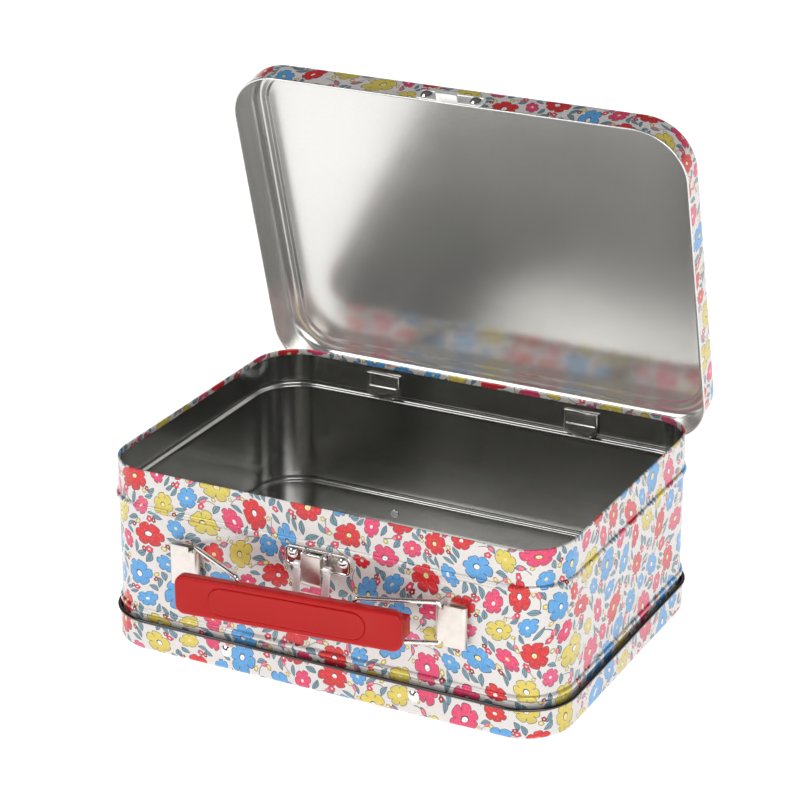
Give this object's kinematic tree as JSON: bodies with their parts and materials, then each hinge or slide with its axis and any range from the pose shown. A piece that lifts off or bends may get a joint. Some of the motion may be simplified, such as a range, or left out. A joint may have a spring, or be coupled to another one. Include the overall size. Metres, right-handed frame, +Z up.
{
  "type": "lunch box",
  "caption": "Rounded rectangular tinplate case with a hinged lid, riveted base tray, toggle latch on the front and a pull-out grip on wire links.",
  "frame": {"origin": "centre of the underside of the base, where the box stands", "axes": "+X to the right and +Z up as seen from the front; the latch and handle face -Y"},
  "size_m": [0.2046, 0.1946, 0.2178],
  "materials": {
    "printed_tin": "printed tinplate, satin",
    "nickel": "bright nickel plate",
    "red_plastic": "moulded plastic, semi-gloss"
  },
  "bodies": {
    "case": {"body_shell": "printed_tin", "base_tray": "printed_tin", "base_rivets_front": "nickel", "base_rivets_back": "nickel", "hinge_plate_left": "nickel", "hinge_plate_right": "nickel", "hinge_pin_left": "nickel", "hinge_pin_right": "nickel", "latch_plate": "nickel", "latch_rivets": "nickel", "latch_lever_pin": "nickel", "handle_bracket_left": "nickel", "handle_bracket_right": "nickel"},
    "lid": {"lid_shell": "printed_tin", "lid_hinge_leaf_left": "nickel", "lid_hinge_leaf_right": "nickel", "lid_catch": "nickel", "lid_catch_rivets": "nickel"},
    "lever": {"latch_lever": "nickel", "latch_bail_pin": "nickel"},
    "bail": {"latch_bail": "nickel"},
    "grip": {"handle_grip": "red_plastic"},
    "link_left": {"handle_link_left": "nickel"},
    "link_right": {"handle_link_right": "nickel"}
  },
  "joints": [
    {"name": "lid_hinge", "type": "hinge", "parent": "case", "child": "lid", "pos_m": [0, 0.0779, 0.0646], "axis": [-1, 0, 0], "range_deg": [-74, 20]},
    {"name": "lever_hinge", "type": "hinge", "parent": "case", "child": "lever", "pos_m": [0, -0.0772, 0.0608], "axis": [-1, 0, 0], "range_deg": [0, 90]},
    {"name": "bail_hinge", "type": "hinge", "parent": "lever", "child": "bail", "pos_m": [0, -0.0786, 0.0568], "axis": [-1, 0, 0], "range_deg": [-28, 76]},
    {"name": "grip_slide", "type": "slide", "parent": "case", "child": "grip", "axis": [0, -1, 0], "range_m": [-0.003, 0.01]},
    {"name": "link_left_hinge", "type": "hinge", "parent": "case", "child": "link_left", "pos_m": [-0.0543, -0.0766, 0.0443], "axis": [0, 0, -1], "range_deg": [-8, 25.5]},
    {"name": "link_right_hinge", "type": "hinge", "parent": "case", "child": "link_right", "pos_m": [0.0543, -0.0766, 0.0443], "axis": [0, 0, 1], "range_deg": [-6, 19.5]}
  ],
  "couplings": [
    {"joint": "link_left_hinge", "follows": "grip_slide", "rad_per_m": 43},
    {"joint": "link_right_hinge", "follows": "grip_slide", "rad_per_m": 32.5}
  ]
}
